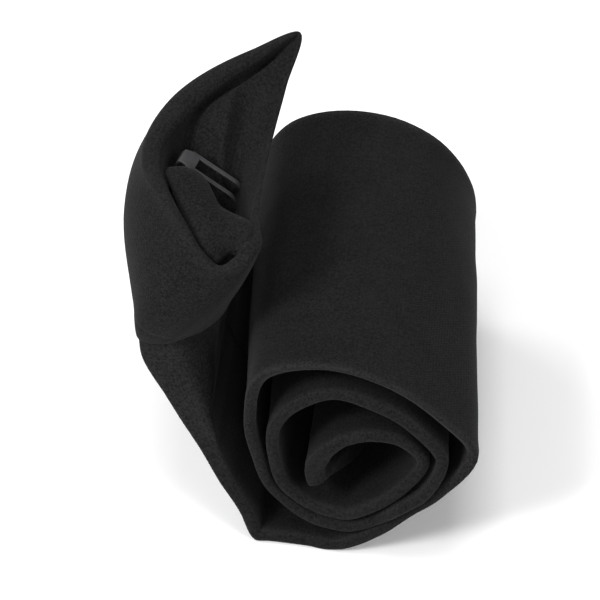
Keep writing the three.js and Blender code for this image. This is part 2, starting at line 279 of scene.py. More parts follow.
# Curves through table rows, and meshes from rings
def curvePoints(points, places, closed=False):
    # a centripetal curve through the points; place 0 is the first of them
    points = np.asarray(points, float)
    count = len(points)
    made = []
    for place in places:
        first = int(math.floor(place)) if closed else min(int(math.floor(place)), count - 2)
        share = place - first
        four = []
        for i in range(first - 1, first + 3):
            if closed:
                four.append(points[i % count])
            elif i < 0:
                four.append(2 * points[0] - points[1])
            elif i >= count:
                four.append(2 * points[-1] - points[-2])
            else:
                four.append(points[i])
        before, start, end, after = four
        lead, span, trail = [max(np.linalg.norm(q - p), 1e-4) ** 0.5 for p, q in zip(four, four[1:])]
        leave = (start - before) / lead - (end - before) / (lead + span) + (end - start) / span
        arrive = (end - start) / span - (after - start) / (span + trail) + (after - end) / trail
        leave, arrive = leave * span, arrive * span
        made.append(start + share * leave + share ** 2 * (3 * (end - start) - 2 * leave - arrive)
                    + share ** 3 * (2 * (start - end) + leave + arrive))
    return np.array(made)


def ease(low, high, value):
    # from 0 at low to 1 at high, without a kink; low may be the larger
    share = np.clip((np.asarray(value, float) - low) / (high - low), 0, 1)
    return share * share * (3 - 2 * share)


def mix(a, b, share):
    return a + (b - a) * share


def bulgeNoise(points, scale, seed):
    # slow hollows and swells, from -1 to 1, at each of the points
    return np.array([noise.noise(Vector(p) / scale + Vector((seed, 0, 0))) for p in points])


def clothFromRings(name, rings, wearAndHighlight, flatEnd=False, ownLengths=False):
    # a closed cloth body; its map counts metres round each ring and along them, with each
    # ring's own lengths or their mean. The ends are closed by fans, or the last one by a
    # single face where its outline is bent.
    rings = np.asarray(rings, float)
    rows, around = rings.shape[:2]
    closedRings = np.concatenate([rings, rings[:, :1]], axis=1)
    steps = np.linalg.norm(np.diff(closedRings, axis=1), axis=2)
    if not ownLengths:
        steps[:] = steps.mean(axis=0)
    roundIt = np.concatenate([np.zeros((rows, 1)), np.cumsum(steps, axis=1)], axis=1)
    advance = np.linalg.norm(np.diff(rings, axis=0), axis=2).mean(axis=1)
    alongIt = np.concatenate([[0], np.cumsum(advance)])
    points = (rings.reshape(-1, 3) + drawingOrigin) * mm
    centres = (np.array([rings[0].mean(axis=0), rings[-1].mean(axis=0)]) + drawingOrigin) * mm
    faces, maps = [], []
    for i in range(rows - 1):
        for j in range(around):
            k = (j + 1) % around
            faces.append((i * around + j, i * around + k, (i + 1) * around + k, (i + 1) * around + j))
            maps += [(roundIt[i, j], alongIt[i]), (roundIt[i, j + 1], alongIt[i]),
                     (roundIt[i + 1, j + 1], alongIt[i + 1]), (roundIt[i + 1, j], alongIt[i + 1])]
    for row, centre in ((0, rows * around), (rows - 1, rows * around + 1)):
        if flatEnd and row:
            faces.append(tuple(row * around + j for j in range(around)))
            maps += [(roundIt[row, j], alongIt[row]) for j in range(around)]
            continue
        for j in range(around):
            k = (j + 1) % around
            ends = (row * around + k, row * around + j)
            faces.append((centre, *(ends if row == 0 else ends[::-1])))
            maps += [(roundIt[row, j], alongIt[row])] * 3
    mesh = bpy.data.meshes.new(name)
    ends = centres[:1] if flatEnd else centres
    mesh.from_pydata([tuple(p) for p in np.concatenate([points, ends])], [], faces)
    layer = mesh.uv_layers.new(name="cloth")
    layer.data.foreach_set("uv", (np.array(maps) * mm).ravel())
    # each point's wear and painted highlight along the folds
    shade = mesh.attributes.new("wearAndHighlight", "FLOAT", "POINT")
    shade.data.foreach_set("value", np.concatenate([np.asarray(wearAndHighlight, float).ravel(), [0.0] * len(ends)]))
    mesh.polygons.foreach_set("use_smooth", [True] * len(mesh.polygons))
    body = bmesh.new()
    body.from_mesh(mesh)
    if body.calc_volume(signed=True) < 0:
        bmesh.ops.reverse_faces(body, faces=body.faces)
    bmesh.ops.triangulate(body, faces=[f for f in body.faces if len(f.verts) > 4])
    body.to_mesh(mesh)
    body.free()
    mesh.materials.append(blackCloth)
    piece = bpy.data.objects.new(name, mesh)
    bpy.context.scene.collection.objects.link(piece)
    return piece


# The blade between the knot and the floor: x and z place its front face, level 1 measures the
# wall level and 0 square to it, inset narrows the gathered back on each side
neckRows = [
    {"x": -25.5, "z": 41.7, "wall": 16.2, "level": 1.0, "inset": 9.2, "near": 16.6, "far": 58.8},
    {"x": -24.5, "z": 36.8, "wall": 14.6, "level": 1.0, "inset": 8.0, "near": 14.8, "far": 62.5},
    {"x": -19.9, "z": 30.2, "wall": 10.0, "level": 1.0, "inset": 5.5, "near": 12.0, "far": 65.5},
    {"x": -15.8, "z": 25.0, "wall": 5.8, "level": 0.7, "inset": 2.5, "near": 9.2, "far": 68.5},
    {"x": -11.2, "z": 19.4, "wall": 3.2, "level": 0.2, "inset": 0.8, "near": 6.0, "far": 72.0},
    {"x": -7.6, "z": 13.6, "wall": 2.3, "level": 0.0, "inset": 0.2, "near": 3.9, "far": 74.5},
    {"x": -3.9, "z": 7.6, "wall": 2.1, "level": 0.0, "inset": 0.0, "near": 2.6, "far": 76.5},
]

# The roll: how far the front of the cloth lies from the roll's centre in each direction
# (degrees from +X), turn by turn inwards, at the near end and at the far end
turnRows = [
    {"direction": -132, "near": (29.4, 18.0, 14.9, 10.5), "far": (29.4, 20.5, 15.9, 11.5)},
    {"direction": -127, "near": (27.5, 17.9, 14.6, 10.5), "far": (27.5, 20.0, 15.6, 11.4)},
    {"direction": -115, "near": (23.9, 17.7, 14.0, 10.6), "far": (23.9, 18.6, 14.7, 11.1)},
    {"direction": -102, "near": (22.65, 17.2, 13.3, 10.3), "far": (22.65, 17.8, 13.9, 10.6)},
    {"direction": -90, "near": (20.9, 16.8, 12.8, 9.9), "far": (20.9, 17.1, 13.2, 10.2)},
    {"direction": -68, "near": (17.9, 15.3, 11.4, 8.8), "far": (18.6, 15.7, 11.9, 9.2)},
    {"direction": -42, "near": (16.6, 14.1, 11.4, 8.7), "far": (17.5, 14.6, 11.8, 9.0)},
    {"direction": -14, "near": (19.6, 16.9, 12.9, 9.8), "far": (19.3, 16.4, 12.9, 9.8)},
    {"direction": 16, "near": (27.1, 20.8, 16.7, 11.6), "far": (21.8, 18.6, 14.8, 11.0)},
    {"direction": 44, "near": (24.6, 20.0, 15.2), "far": (24.0, 20.2, 14.2)},
    {"direction": 70, "near": (25.1, 20.0, 12.2), "far": (26.2, 21.0, 11.4)},
    {"direction": 100, "near": (27.7, 21.5, 9.3), "far": (28.8, 22.0, 8.0)},
    {"direction": 128, "near": (30.0, 20.6, 8.2), "far": (30.6, 22.0, 6.6)},
    {"direction": 152, "near": (24.5, 18.8, 8.2), "far": (28.6, 21.0, 6.0)},
    {"direction": 180, "near": (19.8, 16.4, 9.1), "far": (25.6, 19.5, 6.6)},
    {"direction": 206, "near": (18.8, 16.0, 9.9), "far": (23.4, 18.2, 7.6)},
]

# How thick the cloth is towards its free end, where its corner is folded over, by the angle turned
endRows = [(960, 2.1), (990, 2.9), (1012, 3.5), (1040, 3.7), (1070, 3.6)]

# Where the roll lies level on the floor
footing = {"from": 5, "to": 30, "height": 0.13}

# Where the outer turn's side edges fold under: the angles turned, and how much narrower the
# inner face is there on each side
drawnEdge = {"start": 120, "full": 175, "hold": 235, "end": 285, "back": 2.6}

# Side edges of the roll, by the angle turned since the bend on the floor
edgeRows = [
    {"turned": 0, "near": 1.8, "far": 78.0},
    {"turned": 45, "near": 0.1, "far": 78.0},
    {"turned": 150, "near": 0.0, "far": 79.5},
    {"turned": 240, "near": 2.0, "far": 81.0},
    {"turned": 330, "near": 3.0, "far": 81.0},
    {"turned": 420, "near": 0.5, "far": 80.0},
    {"turned": 460, "near": -1.5, "far": 79.0},
    {"turned": 520, "near": -0.5, "far": 79.5},
    {"turned": 600, "near": 2.0, "far": 81.0},
    {"turned": 700, "near": 2.5, "far": 81.5},
    {"turned": 780, "near": 0.0, "far": 80.0},
    {"turned": 900, "near": 0.5, "far": 80.0},
    {"turned": 1070, "near": 2.0, "far": 81.0},
]

bladeDetail = {
    "stepsPerRow": 7,
    "pointsAcross": 36,
    "evenShare": 0.6,         # the rest of the points crowd towards the edges
    "seamPoints": (-0.012, -0.005, 0.0015, 0.005, 0.012),   # extra ones beside the lapped seam
    "capPoints": 13,
    "edgeRound": 1.25,        # how far the folded edge stands out sideways
    "edgeFullness": 0.8,      # below 1 the folded edge is fuller than a circle
    "edgeSwell": 0.22,        # extra half thickness beside the folded edges
    "swellAt": 1.3,           # where that is fullest, counted from the edge
    "swellWidth": 2.3,
    "wearHighlightAt": 0.3,            # where the edge's wear and painted highlight are strongest, counted likewise
    "wearHighlightWidth": 0.8,
    # how much less wear and painted highlight the gathered neck has
    "neckWearHighlightLoss": 0.2,
    "tipCorner": 1064.0,      # the angles turned at which the tip begins and ends
    "tipEnd": 1228.0,
    "tipBlunt": 1.5,
    "tipTurns": (0.2, 0.4, 0.6, 0.8, 0.95),   # rings that round off the end, in quarter turns
    "wrinkle": 0.32,
    "wrinkleLength": 21.0,
    "wrinkleStart": 12.0,     # they grow to their full height over this length from the knot
    "fineWrinkle": 0.4,
    "finerBy": 2.6,
    "seeds": (3.1, 8.4),
    "lap": 0.45,              # step of the lapped seam down the middle of the back
    "lapEdge": 0.5,
    "lapRun": 13.0,
    "floorSlack": 0.02,       # keeps the two faces apart where both reach the floor
}


def bladeSide(side):
    # one side of the blade at fine steps: front face, inward direction and the other columns.
    # The neck's rows come before the bend on the floor, so their angle turned is below 0.
    rows = [dict(row, edge=row[side], turned=-40 + 6 * i) for i, row in enumerate(neckRows)]
    edgeAt = [row["turned"] for row in edgeRows]
    for turn in range(4):
        for row in turnRows:
            if turn >= len(row[side]):
                continue
            angle = math.radians(row["direction"])
            turned = row["direction"] - turnRows[0]["direction"] + 360 * turn
            index = int(np.clip(np.searchsorted(edgeAt, turned, side="right") - 1, 0, len(edgeRows) - 2))
            share = ease(edgeAt[index], edgeAt[index + 1], turned)
            drawn = float(ease(drawnEdge["start"], drawnEdge["full"], turned)
                          - ease(drawnEdge["hold"], drawnEdge["end"], turned))
            rows.append({
                "x": tieSizes["rollX"] + row[side][turn] * math.cos(angle),
                "z": tieSizes["rollZ"] + row[side][turn] * math.sin(angle),
                "wall": np.interp(turned, *zip(*endRows)) if side == "near" else tieSizes["wall"],
                "level": 0.0,
                "turned": turned,
                "inset": drawnEdge["back"] * drawn,
                "edge": mix(edgeRows[index][side], edgeRows[index + 1][side], share),
            })
    places = np.linspace(0, len(rows) - 1, (len(rows) - 1) * bladeDetail["stepsPerRow"] + 1)
    face = curvePoints([(row["x"], row["z"]) for row in rows], places)
    tangent = np.gradient(face, axis=0)
    tangent /= np.linalg.norm(tangent, axis=1)[:, None]
    columns = {name: np.interp(places, range(len(rows)), [row[name] for row in rows])
               for name in ("wall", "level", "inset", "turned")}
    columns["edge"] = curvePoints([(row["edge"], 0) for row in rows], places)[:, 0]
    square = np.stack([-tangent[:, 1], tangent[:, 0]], axis=1)
    inward = mix(square, np.array([1.0, 0.0]), columns["level"][:, None])
    columns["inward"] = inward / np.linalg.norm(inward, axis=1)[:, None]
    columns["tangent"] = tangent
    level = (columns["turned"] > footing["from"]) & (columns["turned"] < footing["to"])
    face[level, 1] = np.minimum(face[level, 1], footing["height"])
    face[:, 1] = np.maximum(face[:, 1], -drawingOrigin[2])
    columns["face"] = face
    return columns


def bladeSection(near, far, i):
    # the outline of one cross-section: places across the blade, shares of the wall, swell, and wear with a
    # painted highlight along the folded edges
    level = near["level"][i]
    pointed = np.clip((near["turned"][i] - bladeDetail["tipCorner"])
                      / (bladeDetail["tipEnd"] - bladeDetail["tipCorner"]), 0, 1)
    middle = (near["edge"][i] + far["edge"][i]) / 2
    nearEdge = mix(near["edge"][i], middle - bladeDetail["tipBlunt"], pointed)
    farEdge = mix(far["edge"][i], middle + bladeDetail["tipBlunt"], pointed)
    even = np.linspace(0, 1, bladeDetail["pointsAcross"])
    evenShare = bladeDetail["evenShare"]
    shares = evenShare * even + (1 - evenShare) * (0.5 - 0.5 * np.cos(np.pi * even))
    shares = np.sort(np.concatenate([shares, 0.5 + np.array(bladeDetail["seamPoints"])]))
    capTurn = np.linspace(0, np.pi, bladeDetail["capPoints"] + 2)[1:-1]
    capShare = mix((1 - np.cos(capTurn)) / 2, np.sin(capTurn / 2), level)
    drawnBack = mix(capShare, 1 - np.sqrt(1 - capShare ** 2), level)
    roundness = np.sin(capTurn) ** bladeDetail["edgeFullness"]
    standOut = np.minimum(0.5 * near["wall"][i], bladeDetail["edgeRound"]) * roundness
    standOut = standOut * (1 - 0.5 * level)
    nearBack, farBack = nearEdge + near["inset"][i], farEdge - far["inset"][i]
    places = [mix(nearEdge, farEdge, shares), mix(farEdge, farBack, drawnBack) + standOut,
              mix(nearBack, farBack, shares)[::-1], (mix(nearEdge, nearBack, drawnBack) - standOut)[::-1]]
    depths = [np.zeros(len(shares)), capShare, np.ones(len(shares)), capShare[::-1]]
    places, depths = np.concatenate(places), np.concatenate(depths)
    fromEdge = np.minimum(places - nearEdge, farEdge - places)
    beside = np.exp(-((fromEdge - bladeDetail["swellAt"]) / bladeDetail["swellWidth"]) ** 2)
    swell = beside * bladeDetail["edgeSwell"] * (2 * depths - 1)
    swell *= 1 - level
    fromMiddle, lapEdge = places - middle, bladeDetail["lapEdge"]
    lap = ease(-lapEdge, lapEdge, fromMiddle) * (1 - ease(lapEdge, bladeDetail["lapRun"], fromMiddle))
    swell += lap * bladeDetail["lap"] * (depths > 0.99) * (1 - pointed) * (1 - level)
    # wear and a painted highlight along the folded edges, less on the neck
    wearAndHighlight = np.exp(-((fromEdge - bladeDetail["wearHighlightAt"]) / bladeDetail["wearHighlightWidth"]) ** 2)
    wearAndHighlight = wearAndHighlight * (1 - bladeDetail["neckWearHighlightLoss"] * level)
    return places, depths, swell, wearAndHighlight


def makeTieBlade():
    near, far = bladeSide("near"), bladeSide("far")
    rings, wearAndHighlights = [], []
    travelled = 0.0
    for i in range(len(near["wall"])):
        if i:
            travelled += np.linalg.norm(near["face"][i] - near["face"][i - 1])
        places, depths, swell, wearAndHighlight = bladeSection(near, far, i)
        across = np.clip((places - near["edge"][i]) / (far["edge"][i] - near["edge"][i]), 0, 1)[:, None]
        face = mix(near["face"][i], far["face"][i], across)
        inward = mix(near["inward"][i], far["inward"][i], across)
        inward = inward / np.linalg.norm(inward, axis=1)[:, None]
        length = bladeDetail["wrinkleLength"]
        slow, fine = bladeDetail["seeds"]
        spots = [(travelled, y, 0.0) for y in places]
        wave = bulgeNoise(spots, length, slow)
        wave = wave + bladeDetail["fineWrinkle"] * bulgeNoise(spots, length / bladeDetail["finerBy"], fine)
        wave = wave * bladeDetail["wrinkle"] * ease(0, bladeDetail["wrinkleStart"], travelled)
        wall = mix(near["wall"][i], far["wall"][i], across[:, 0])
        place = face + inward * (depths * wall + swell + wave)[:, None]
        height = np.maximum(place[:, 1], bladeDetail["floorSlack"] * depths - drawingOrigin[2])
        rings.append(np.stack([place[:, 0], places, height], axis=1))
        wearAndHighlights.append(wearAndHighlight)
    last, reach = rings[-1], 0.5 * near["wall"][-1]
    middle = last.mean(axis=0)
    onward = np.array([near["tangent"][-1][0], 0, near["tangent"][-1][1]])
    for turn in bladeDetail["tipTurns"]:
        angle = turn * math.pi / 2
        rings.append(middle + (last - middle) * math.cos(angle) + onward * reach * math.sin(angle))
        wearAndHighlights.append(wearAndHighlights[-1])
    return clothFromRings("tieBlade", rings, wearAndHighlights, ownLengths=True)


# The knot in stations round it from the far ear by the front to the near nose and back.
# rim: top edge. seam: outline at its foot. bulge: swell half way up. rise: below 1 the swell
# begins close to the foot. roll: half width of the rolled rim. The first row is the far ear,
# the fifth the front, the tenth the near end, and the back starts at the fourteenth.
knotRows = [
    {"rim": (2.4, 76.4, 74.2), "seam": (-16.0, 59.0, 41.9), "bulge": 1.0, "rise": 0.8, "roll": 0.50},
    {"rim": (-7.5, 72.6, 72.6), "seam": (-21.0, 60.5, 41.9), "bulge": 1.5, "rise": 0.8, "roll": 1.90},
    {"rim": (-17.2, 66.0, 71.2), "seam": (-25.5, 59.4, 41.9), "bulge": 2.0, "rise": 0.8, "roll": 2.80},
    {"rim": (-23.6, 57.0, 70.6), "seam": (-27.2, 54.0, 41.9), "bulge": 3.0, "rise": 0.8, "roll": 2.90},
    {"rim": (-27.0, 46.5, 69.4), "seam": (-26.4, 46.0, 41.8), "bulge": 3.8, "rise": 0.85, "roll": 2.50},
    {"rim": (-26.4, 36.5, 69.4), "seam": (-26.0, 38.0, 41.6), "bulge": 4.5, "rise": 0.85, "roll": 2.10},
    {"rim": (-22.6, 28.5, 69.6), "seam": (-26.0, 30.0, 41.4), "bulge": 4.7, "rise": 0.85, "roll": 1.45},
    {"rim": (-17.7, 21.2, 68.4), "seam": (-25.9, 22.0, 41.1), "bulge": 4.3, "rise": 0.8, "roll": 0.90},
    {"rim": (-13.0, 15.6, 65.0), "seam": (-25.1, 15.7, 40.8), "bulge": 3.7, "rise": 0.75, "roll": 0.80},
    {"rim": (-8.8, 13.4, 62.9), "seam": (-20.5, 15.1, 40.6), "bulge": 3.0, "rise": 0.75, "roll": 0.80},
    {"rim": (-5.2, 13.6, 63.8), "seam": (-18.4, 15.9, 40.7), "bulge": 2.4, "rise": 0.75, "roll": 1.60},
    {"rim": (-2.4, 14.9, 65.2), "seam": (-16.2, 16.9, 40.8), "bulge": 1.9, "rise": 0.8, "roll": 2.30},
    {"rim": (-0.4, 19.6, 65.9), "seam": (-12.4, 19.3, 41.1), "bulge": 1.4, "rise": 0.9, "roll": 2.10},
    {"rim": (-1.6, 26.5, 65.4), "seam": (-8.6, 24.8, 41.6), "bulge": 0.8, "rise": 1.0, "roll": 0.80},
    {"rim": (-1.8, 40.0, 65.2), "seam": (-8.4, 35.0, 41.9), "bulge": 0.6, "rise": 1.0, "roll": 0.45},
    {"rim": (-1.0, 52.0, 66.2), "seam": (-8.6, 43.5, 41.9), "bulge": 0.6, "rise": 1.0, "roll": 0.45},
    {"rim": (0.6, 65.0, 69.0), "seam": (-10.6, 52.5, 41.9), "bulge": 0.8, "rise": 1.0, "roll": 0.40},
]

# The bottom of the mouth, from the ear to the nose, where the knot's back layer slopes down to
# its front. front and back: the stations of the knot beside it.
mouthRows = [
    {"at": (1.0, 75.0, 73.2), "front": 0.0, "back": 17.0},
    {"at": (-2.4, 72.2, 71.9), "front": 0.5, "back": 16.7},
    {"at": (-7.0, 67.6, 70.9), "front": 1.1, "back": 16.3},
    {"at": (-12.2, 63.0, 69.9), "front": 1.7, "back": 15.9},
    {"at": (-16.2, 59.2, 69.1), "front": 2.4, "back": 15.5},
    {"at": (-18.4, 54.4, 67.6), "front": 3.0, "back": 15.1},
    {"at": (-19.6, 49.6, 63.0), "front": 3.6, "back": 14.8},
    {"at": (-20.4, 44.0, 54.0), "front": 4.3, "back": 14.4},
    {"at": (-18.6, 37.4, 49.0), "front": 5.3, "back": 14.0},
    {"at": (-14.6, 30.8, 48.0), "front": 6.6, "back": 13.6},
    {"at": (-10.2, 25.6, 49.0), "front": 8.0, "back": 13.2},
    {"at": (-7.2, 22.6, 51.0), "front": 10.2, "back": 12.4},
]

knotDetail = {
    "pointsRound": 272,
    "outerLevels": 60,
    "rollPoints": 12,
    "innerLevels": 34,
    "rimLift": 0.7,           # how far the rolled rim stands over the rim's row
    "rimFlatness": 0.75,      # height of the rolled rim as a share of its half width
    "rimEases": 0.6,          # the share of its height from which the wall turns to meet that rim
    # wear and a painted highlight on the rolled rim, fullest on its outer side, and on the foot's edge
    "rimWearHighlight": 0.2,
    "rimWearHighlightFrom": 0.93,
    "footRound": 0.4,         # radius of the foot's edge
    "footPoints": 4,
    "footWearHighlight": 0.1,
    "footClear": 0.05,
    "lowestLevel": 0.03,
    "sleeveTop": 42.2,        # how far up the foot's inner side goes round the blade
    "creaseRise": 4.6,        # how much higher the fold round the knot lies in front than behind
    "creaseLowest": 0.3,      # how far above the foot it lies behind
    "creaseFrom": -9.0,       # it begins at this x and is at its full height a run further
    "creaseRun": 17.0,
    "creaseFades": (1.0, 3.5),    # the heights above the foot between which it fades in
    "creaseDepth": 0.13,
    "creaseWidth": 0.55,
    "swell": 0.35,
    "swellLength": 13.0,
    "swellSeed": 5.7,
    "steepness": 2.4,         # how steeply the front's inner side falls
    "backStarts": (12.2, 13.4),   # stations between which the inner side turns into a sloping panel
    "backEnds": (16.0, 16.9),     # and between which that halves again
    "panelFold": 0.9,         # height of the fold in the back layer
    "foldAt": -11.0,          # its x where y is foldMiddle
    "foldSlant": 0.06,
    "foldMiddle": 50.0,
    "foldWidth": 1.1,
    "panelDip": 1.9,          # depth of the hollow beside that fold
    "dipAt": 3.4,
    "dipWidth": 2.4,
    "panelFades": (68, 58),   # the fold and the hollow fade in between these values of y
    "panelDeepens": (60, 46),     # and double between these
    "mouthHalf": 0.6,         # half the width left at the bottom of the mouth
    "mouthOpens": 0.6,        # the rows over which it opens from the ear
    "wayStep": 0.02,          # step that finds which way the mouth's bottom runs
    "gutter": 2.0,            # how deep the mouth's bottom lies under the edge of the back layer
    "gutterFades": (75, 70),
    "gutterSharpness": 10,
}


def mouthFloor(places):
    # for each station of the knot, the point at the bottom of its mouth
    shares = np.arange(len(mouthRows), dtype=float)
    front = np.interp(places, [row["front"] for row in mouthRows], shares)
    back = np.interp(places, [row["back"] for row in mouthRows][::-1], shares[::-1])
    isFront = places <= mouthRows[-1]["front"]
    isEnd = (places > mouthRows[-1]["front"]) & (places < mouthRows[-1]["back"])
    along = np.where(isFront, front, back)
    along[isEnd] = shares[-1]
    line, last, step = [row["at"] for row in mouthRows], shares[-1] - 1e-6, knotDetail["wayStep"]
    points = curvePoints(line, np.clip(along, 0, last))
    ahead = curvePoints(line, np.clip(along + step, 0, last))
    behind = curvePoints(line, np.clip(along - step, 0, last))
    way = (ahead - behind)[:, :2]
    length = np.linalg.norm(way, axis=1)[:, None]
    side = np.stack([way[:, 1], -way[:, 0]], axis=1) / length
    middle = (mouthRows[-1]["front"] + mouthRows[-1]["back"]) / 2
    reach = (mouthRows[-1]["back"] - mouthRows[-1]["front"]) / 2
    across = np.where(isEnd, (middle - places) / reach, np.where(isFront, 1.0, -1.0))
    half = knotDetail["mouthHalf"] * ease(0, knotDetail["mouthOpens"], along) * across
    points[:, :2] += side * half[:, None]
    forward = np.sqrt(np.clip(1 - across ** 2, 0, 1)) * knotDetail["mouthHalf"] * isEnd
    points[:, :2] += way / length * forward[:, None]
    return points


def makeTieKnot():
    size = knotDetail
    count = size["pointsRound"]
    places = np.linspace(0, len(knotRows), count, endpoint=False)
    rim = curvePoints([row["rim"] for row in knotRows], places, closed=True)
    seam = curvePoints([row["seam"] for row in knotRows], places, closed=True)
    bulge = curvePoints([(row["bulge"], 0) for row in knotRows], places, closed=True)[:, 0]
    roll = curvePoints([(row["roll"], 0) for row in knotRows], places, closed=True)[:, 0]
    bulgeRise = curvePoints([(row["rise"], 0) for row in knotRows], places, closed=True)[:, 0]
    rise = roll * size["rimFlatness"]
    lift = size["rimLift"] - rise
    forward = np.clip((size["creaseFrom"] - seam[:, 0]) / size["creaseRun"], 0, 1)
    creaseRise = size["creaseLowest"] + size["creaseRise"] * forward

    def ringAt(height, depth, raised):
        # the ring at a share of the wall's height, drawn in by a depth and raised
        outline = mix(seam, rim, height)
        ahead, behind = np.roll(outline, -1, axis=0), np.roll(outline, 1, axis=0)
        outward = np.stack([ahead[:, 1] - behind[:, 1], behind[:, 0] - ahead[:, 0]], axis=1)
        outward /= np.linalg.norm(outward, axis=1)[:, None]
        above = outline[:, 2] - seam[:, 2]
        crease = np.exp(-((above - creaseRise) / size["creaseWidth"]) ** 2)
        crease = crease * ease(*size["creaseFades"], creaseRise)
        wave = max(math.sin(math.pi * height), 0.0)
        push = bulge * wave ** (bulgeRise if height < 0.5 else 1.0) - depth
        push = push - crease * size["creaseDepth"]
        ring = outline.copy()
        swell = bulgeNoise(outline, size["swellLength"], size["swellSeed"])
        swell = swell * size["swell"] * np.sin(np.pi * height)
        ring[:, :2] += outward * (push + swell)[:, None]
        ring[:, 2] += raised
        return ring

    rings, wearAndHighlights = [], []

    def addRing(ring, wearAndHighlight):
        rings.append(ring)
        wearAndHighlights.append(np.full(count, wearAndHighlight))

    # the foot: up its inner side round the blade, then round its edge, which has a little wear and painted
    # highlight
    foot = size["footRound"]
    sleeve = ringAt(0.0, foot + size["footClear"], 0.0)
    sleeve[:, 2] = size["sleeveTop"]
    addRing(sleeve, 0.0)
    for turn in np.linspace(0, math.pi / 2, size["footPoints"])[:-1]:
        addRing(ringAt(0.0, foot * (1 - math.sin(turn)), foot * (1 - math.cos(turn))), size["footWearHighlight"])

    # the outside, and the rolled rim, lightened on its outer side by wear and a painted highlight
    for height in np.linspace(size["lowestLevel"], 1, size["outerLevels"]):
        wearAndHighlight = size["rimWearHighlight"] * float(ease(size["rimWearHighlightFrom"], 1, height))
        addRing(ringAt(height, 0.0, lift * ease(size["rimEases"], 1, height)), wearAndHighlight)
    for turn in np.linspace(0, math.pi, size["rollPoints"])[1:]:
        raised = lift + rise * math.sin(turn)
        addRing(ringAt(1.0, roll * (1 - math.cos(turn)), raised), size["rimWearHighlight"] * math.cos(turn / 2))

    # the inside: steep in front, and a sloping panel with a fold and a hollow at the back
    lip, floor = rings[-1], mouthFloor(places)
    back = ease(*size["backStarts"], places) * (1 - 0.5 * ease(*size["backEnds"], places))
    for share in np.linspace(0, 1, size["innerLevels"])[1:]:
        steep = 1 - (1 - share) ** size["steepness"]
        fall = mix(steep, share, back)
        ring = mix(lip, floor, share)
        ring[:, 2] = mix(lip[:, 2], floor[:, 2], fall)
        alongY = ring[:, 1]
        fromFold = ring[:, 0] - size["foldAt"] - size["foldSlant"] * (alongY - size["foldMiddle"])
        fold = size["panelFold"] * np.exp(-(fromFold / size["foldWidth"]) ** 2)
        fold -= size["panelDip"] * np.exp(-((fromFold - size["dipAt"]) / size["dipWidth"]) ** 2)
        deeper = 1 + ease(*size["panelDeepens"], alongY)
        fade = ease(*size["panelFades"], alongY)
        ring[:, 2] += fold * deeper * back * fade * math.sin(math.pi * share)
        sharply = share ** size["gutterSharpness"]
        ring[:, 2] -= size["gutter"] * ease(*size["gutterFades"], alongY) * sharply
        addRing(ring, 0.0)
    return clothFromRings("tieKnot", rings, wearAndHighlights, flatEnd=True)


# The folded-in layer that closes the near part of the mouth, in sections from its near edge
# to the crest where it turns down
tuckRows = [
    {"near": (-21.3, 35.5, 69.2), "crest": (-21.0, 36.6, 69.6)},
    {"near": (-19.9, 32.3, 69.2), "crest": (-18.1, 36.6, 70.2)},
    {"near": (-18.0, 27.5, 68.9), "crest": (-15.4, 35.6, 70.0)},
    {"near": (-15.8, 22.7, 68.1), "crest": (-13.2, 33.6, 69.4)},
    {"near": (-13.4, 19.1, 66.6), "crest": (-11.4, 30.5, 68.7)},
    {"near": (-11.0, 16.8, 65.0), "crest": (-9.8, 27.9, 67.9)},
    {"near": (-9.2, 16.4, 63.8), "crest": (-7.6, 26.7, 67.3)},
    {"near": (-7.9, 17.8, 64.4), "crest": (-5.8, 26.2, 66.8)},
    {"near": (-6.6, 18.6, 65.0), "crest": (-4.4, 25.4, 66.8)},
    {"near": (-5.5, 17.9, 65.1), "crest": (-3.2, 24.6, 66.7)},
    {"near": (-4.4, 16.8, 65.3), "crest": (-2.3, 23.2, 66.4)},
    {"near": (-3.2, 16.8, 65.3), "crest": (-1.6, 21.6, 65.9)},
]

tuckDetail = {
    "half": 0.75,             # half its thickness
    "drop": 7.0,              # how far it goes down behind its crest
    "crown": 1.0,
    "crownSpan": 8.0,         # where it is narrower than this, it is less crowned
    "edgeDip": (0.9, 0.15),   # how far its near edge and the place beside it dip
    "dipEnds": 10.6,          # the row from which its near edge no longer dips
    "dipRun": 2.0,
    "pathShares": (0.1, 0.38, 0.72),   # where its path has points between near edge and crest
    "bendStart": 0.3,         # it starts to bend down this far before its crest,
    "bend": (0.8, 1.3),       # and then runs this far past the crest and this far down
    "fall": (1.1, 4.5),
    "fallEnd": 1.2,
    "foldWearHighlight": 0.35,
    "foldAt": 4.2,            # where along its path its wear and painted highlight are strongest
    "foldWidth": 0.6,
    "stepsAcross": 96,
    "pathSteps": 34,
    "capPoints": 5,
}


def tuckPath(near, crest, dip):
    # from the near edge over the crown to the crest and down behind it
    size = tuckDetail
    span = np.linalg.norm(crest - near)
    rise = np.array([0, 0, size["crown"] * min(1.0, span / size["crownSpan"])])
    run = (crest - near) / span
    under = np.array([0, 0, size["half"]])
    inside = near + run * size["half"]
    edgeDip, besideDip = size["edgeDip"]
    beside, rising, falling = size["pathShares"]
    (bendOut, bendDown), (fallOut, fallDown) = size["bend"], size["fall"]
    points = [
        inside - under - (0, 0, edgeDip * dip),
        mix(inside, crest, beside) - under - (0, 0, besideDip * dip),
        mix(inside, crest, rising) + rise - under,
        mix(inside, crest, falling) + rise - under,
        crest - run * size["bendStart"] - under,
        crest + run * bendOut - under - (0, 0, bendDown),
        crest + run * fallOut - (0, 0, fallDown),
        crest + run * size["fallEnd"] - (0, 0, size["drop"]),
    ]
    places = np.linspace(0, len(points) - 1, size["pathSteps"])
    return curvePoints(points, places), places, run


